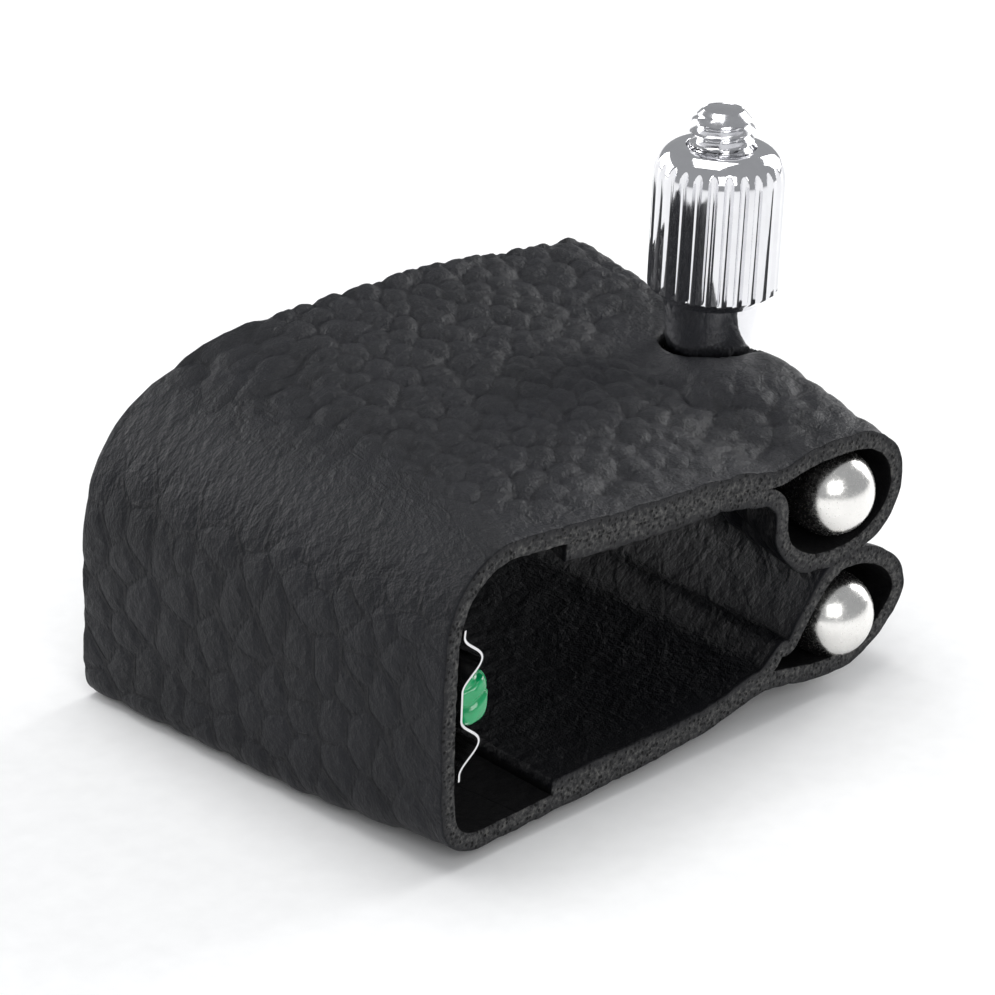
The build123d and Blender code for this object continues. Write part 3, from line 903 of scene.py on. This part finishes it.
def drill(piece, hole, height):
    """Cuts the cross holes: each is (radius, low, high) about the screw's axis."""
    for radius, low, high in hole:
        rows = [(radius, height + low), (radius, height + high)]
        points, faces = lathe(rows, DRILL_SIDES, lambda spec, a: about_screw(*spec, a))
        mesh = bpy.data.meshes.new("drill")
        mesh.from_pydata((points * MM).tolist(), [], faces)
        tool = bpy.data.objects.new("drill", mesh)
        bpy.context.scene.collection.objects.link(tool)
        cut = piece.modifiers.new("drill", "BOOLEAN")
        cut.object = tool
        cut.operation = "DIFFERENCE"
        cut.solver = "EXACT"
        bpy.context.view_layer.update()
        evaluated = piece.evaluated_get(bpy.context.evaluated_depsgraph_get())
        shape = bpy.data.meshes.new_from_object(evaluated)
        piece.modifiers.clear()
        piece.data = shape
        bpy.data.objects.remove(tool)
    piece.data.set_sharp_from_angle(angle=radians(SHARP_METAL))


# ---- the reed plate ----
def ridge(z):
    """Height and slope of the plate's middle line above its lower edge."""
    for foot in (FLANGE, FLANGE + RIDGE_BASE + VALLEY):
        turn = 2 * pi * (z - foot) / RIDGE_BASE
        if 0 < turn < 2 * pi:
            height = RIDGE_HEIGHT - PLATE_THICKNESS
            return height * (1 - cos(turn)) / 2, height * pi * sin(turn) / RIDGE_BASE
    return 0.0, 0.0


def reed_plate(material):
    tall = plate_high.z - plate_low.z
    heights = np.linspace(END_GAP, tall - END_GAP, 96)
    stations = np.linspace(plate_low.y, plate_high.y, 55)
    half = PLATE_THICKNESS / 2
    ring = [(z, half) for z in heights] + [(z, -half) for z in heights[::-1]]
    base = plate_low.x + half
    points = []
    for number, y in enumerate(stations):
        end = min(number, len(stations) - 1 - number)
        thin = THIN_ENDS[min(end, 2)]
        for z, side in ring:
            lift, slope = ridge(z)
            steep = sqrt(1 + slope * slope)
            push = max(0.0, wall_inside(y, plate_low.z + z) - plate_low.x)
            points.append((base + push + lift + side * thin / steep,
                           y,
                           plate_low.z + z - side * thin * slope / steep))
    size = len(ring)
    faces = []
    for r in range(len(stations) - 1):
        for k in range(size):
            after = (k + 1) % size
            low, high = r * size, (r + 1) * size
            faces.append((low + k, high + k, high + after, low + after))
    last = (len(stations) - 1) * size
    count = len(heights)
    for k in range(count - 1):
        faces.append((k, k + 1, size - 2 - k, size - 1 - k))
        faces.append((last + size - 1 - k, last + size - 2 - k, last + k + 1, last + k))
    return make_piece("plate_sheet", points, faces, "band_base",
                      ["reed_plate"], material, 40)


def plate_bead(material):
    """A crumpled drop of resin between the ridges, pressed against the plate."""
    low, high = node_box("plate_bead")
    centre = (low + high) / 2
    size = (high - low) / 2
    bpy.ops.mesh.primitive_ico_sphere_add(subdivisions=6, radius=1)
    ball = bpy.context.object
    base = np.array([v.co for v in ball.data.vertices])
    faces = [tuple(f.vertices) for f in ball.data.polygons]
    bpy.data.objects.remove(ball)
    u, v = base[:, 1] * 1.7 + base[:, 0] * 0.8 + 5, base[:, 2] * 1.6 - base[:, 0] * 0.5 + 5
    first, second = cells(u, v, 51, 0.8)
    fold = 1 - smooth(second - first, 0.0, 0.35)
    swell = 1 - 0.10 * fold + 0.03 * value_noise(u * 2, v * 2, 52)
    # blunter than an ellipsoid, flat at the back
    blunt = np.sign(base) * np.abs(base) ** 0.82
    shaped = blunt * swell[:, None] * np.array(size) * BEAD_GROWTH
    points = shaped + np.array(centre)
    points[:, 0] = np.maximum(points[:, 0], low.x + 0.02)
    return make_piece("resin_bead", points, faces, "band_base",
                      ["plate_bead"], material)


# ---- studio ----
FLOOR_HALF = 1500


def area_light(name, place, aim, size, power):
    lamp = bpy.data.lights.new(name, "AREA")
    lamp.shape = "RECTANGLE"
    lamp.size, lamp.size_y = size[0] * MM, size[1] * MM
    lamp.energy = power
    light = bpy.data.objects.new(name, lamp)
    bpy.context.scene.collection.objects.link(light)
    place, aim = Vector(place) * MM, Vector(aim) * MM
    light.location = place
    light.rotation_euler = (place - aim).to_track_quat("Z", "Y").to_euler()


def studio():
    half = FLOOR_HALF * MM
    mesh = bpy.data.meshes.new("studio_floor")
    corners = [(-half, -half, 0), (half, -half, 0), (half, half, 0), (-half, half, 0)]
    mesh.from_pydata(corners, [], [(0, 1, 2, 3)])
    floor = bpy.data.objects.new("studio_floor", mesh)
    bpy.context.scene.collection.objects.link(floor)
    floor.data.materials.append(floor_material())
    floor.location.z = -(SAG + 0.05) * MM
    world = bpy.data.worlds.new("studio")
    bpy.context.scene.world = world
    world.use_nodes = True
    world.node_tree.nodes["Background"].inputs["Color"].default_value = (0.95, 0.97, 1.0, 1)
    world.node_tree.nodes["Background"].inputs["Strength"].default_value = 0.36
    aim = (0, 0, 10)
    area_light("top_softbox", (-20, 60, 430), aim, (340, 280), 0.95)
    area_light("back_softbox", (-60, 470, 130), aim, (420, 220), 1.1)
    area_light("right_softbox", (430, -20, 180), aim, (260, 300), 1.1)
    area_light("front_softbox", (-260, -380, 260), aim, (300, 240), 0.9)
    bpy.context.scene.view_settings.view_transform = "Standard"


VIEW_AZIMUTH = -47.7
VIEW_ELEVATION = 23.2
VIEW_ROLL = -2.5
VIEW_DISTANCE = 230.0
VIEW_AIM_RIGHT = -13.09     # the point aimed at, from the screw's axis at the knurl's foot
VIEW_AIM_UP = -13.01
LENS = 136.5


def camera():
    azimuth, elevation, roll = (radians(a) for a in (VIEW_AZIMUTH, VIEW_ELEVATION, VIEW_ROLL))
    back = Vector((sin(azimuth) * cos(elevation), -cos(azimuth) * cos(elevation), sin(elevation)))
    level = Vector((cos(azimuth), sin(azimuth), 0))
    upward = back.cross(level)
    right = cos(roll) * level - sin(roll) * upward
    up = sin(roll) * level + cos(roll) * upward
    aim = Vector((SCREW_X, SCREW_Y, KNURL_Z)) + right * VIEW_AIM_RIGHT + up * VIEW_AIM_UP
    place = (aim + back * VIEW_DISTANCE) * MM
    lens = bpy.data.cameras.new("camera")
    lens.lens = LENS
    lens.sensor_width = 36.0
    lens.clip_start = 0.01
    lens.clip_end = 10.0
    view = bpy.data.objects.new("camera", lens)
    view.matrix_world = Matrix((
        (right.x, up.x, back.x, place.x),
        (right.y, up.y, back.y, place.y),
        (right.z, up.z, back.z, place.z),
        (0, 0, 0, 1)))
    bpy.context.scene.collection.objects.link(view)
    bpy.context.scene.camera = view


def build():
    leather = leather_material()
    rods = metal_material("satin_nickel", (0.93, 0.915, 0.885), 0.17, 0.30, (5.0, 5.0, 5.0), 0.05)
    chrome = metal_material("bright_chrome", (0.83, 0.83, 0.85), 0.03, 0.10, (5.0, 5.0, 0.5), 0.05)
    steel = metal_material("plated_thread", (0.78, 0.78, 0.80), 0.10, 0.22, (3.0, 3.0, 3.0), 0.10)
    sheet = metal_material("rolled_sheet", (0.80, 0.80, 0.81), 0.12, 0.24, (4.0, 0.5, 4.0), 0.08)
    upper_holes = [(NOSE_HOLE_RADIUS, UPPER_ROD_Z, SEAT_Z + NOSE_HEIGHT),
                   (STUD_HOLE_RADIUS, UPPER_ROD_Z - 5, UPPER_ROD_Z)]
    lower_holes = [(STUD_HOLE_RADIUS, LOWER_ROD_Z, LOWER_ROD_Z + 5)]
    top = strip("leather_band", upper_line, 1, None, ["band_upper"], upper_holes, upper_masks,
                UPPER_SHADE, leather)
    strip("leather_bottom", lower_line, -1, "band_base", ["band_lower"], lower_holes, lower_masks,
          LOWER_SHADE, leather)
    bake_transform(top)
    rod("rod_lower", LOWER_ROD_Z, LOWER_ROD_SKEW, LOWER_ROD_RISE, "band_base", "lower_rod",
        [(STUD_BORE_RADIUS, -2.0, DRILL_REACH)], rods)
    rod("rod_upper", UPPER_ROD_Z, UPPER_ROD_SKEW, UPPER_ROD_RISE, "rod_carriage", "upper_rod",
        [(ROD_HOLE_RADIUS, -DRILL_REACH, DRILL_REACH),
         (SEAT_RADIUS, ROD_RADIUS - SEAT_DEPTH, DRILL_REACH)], rods)
    knurled_nut(chrome)
    threaded_stud(steel)
    reed_plate(sheet)
    plate_bead(resin_material())


build()
studio()
camera()
